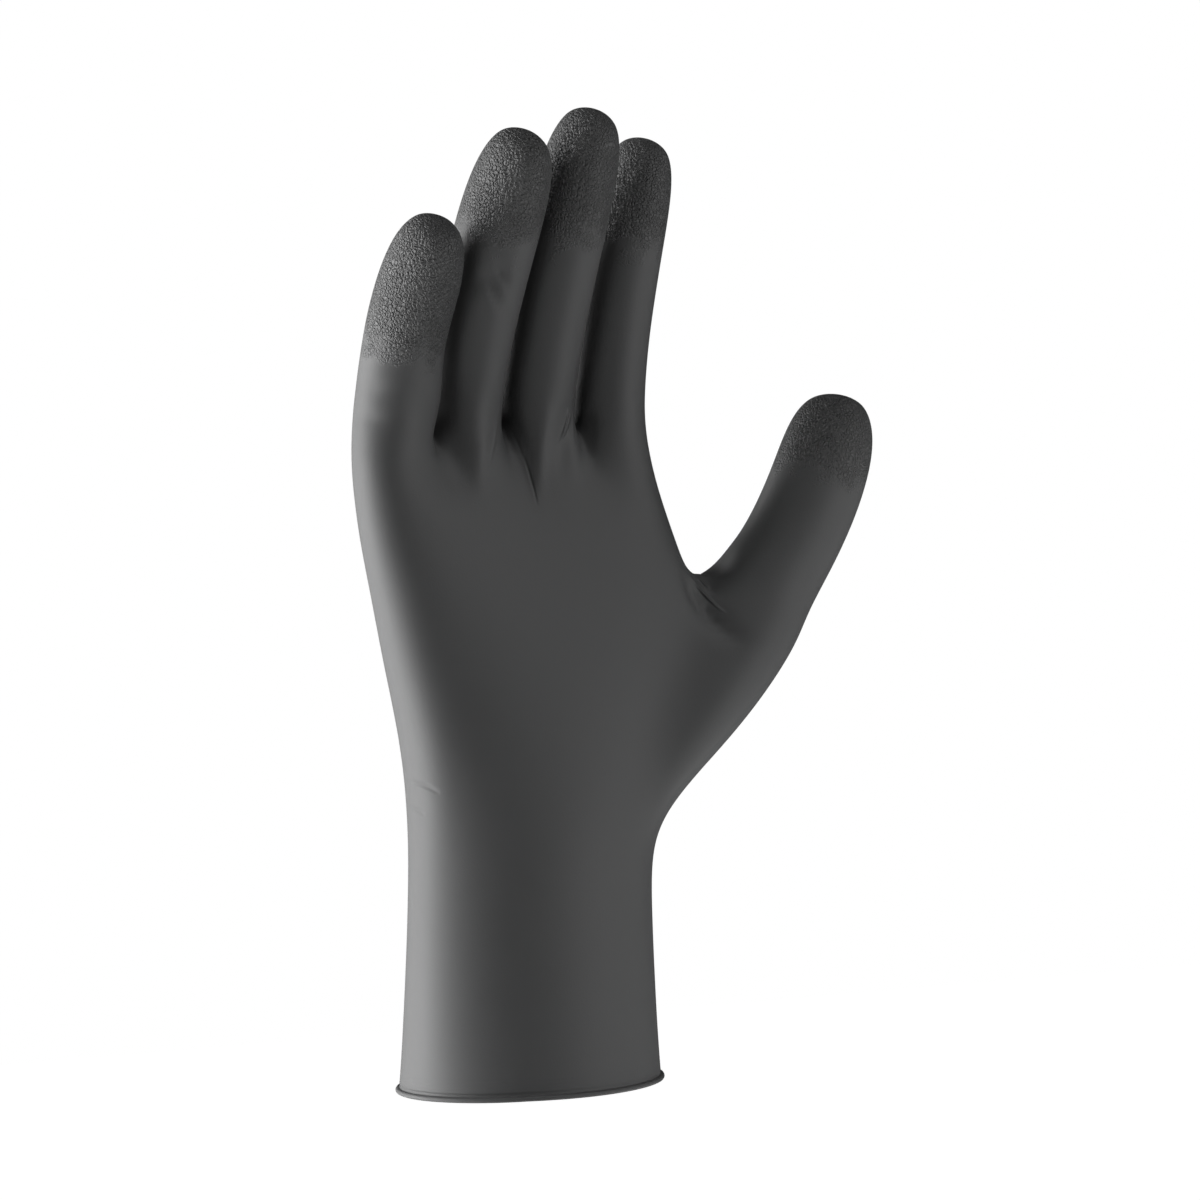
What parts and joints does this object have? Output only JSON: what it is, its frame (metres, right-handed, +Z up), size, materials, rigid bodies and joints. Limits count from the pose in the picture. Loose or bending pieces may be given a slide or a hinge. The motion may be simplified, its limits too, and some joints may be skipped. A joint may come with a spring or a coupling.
{
  "type": "disposable exam glove",
  "caption": "Black nitrile exam glove in worn shape, cuff down with a rolled bead, fingers lightly curled and thumb out",
  "frame": {"origin": "middle of the cuff opening, in the plane of the rim", "axes": "+Z up from the cuff to the fingertips, -Y out of the palm, +X towards the thumb"},
  "size_m": [0.1413, 0.054, 0.2386],
  "materials": {
    "nitrile": "matte nitrile film with a fine pebbled texture at the fingertips"
  },
  "bodies": {
    "root": {"glove_film": "nitrile"}
  },
  "joints": []
}
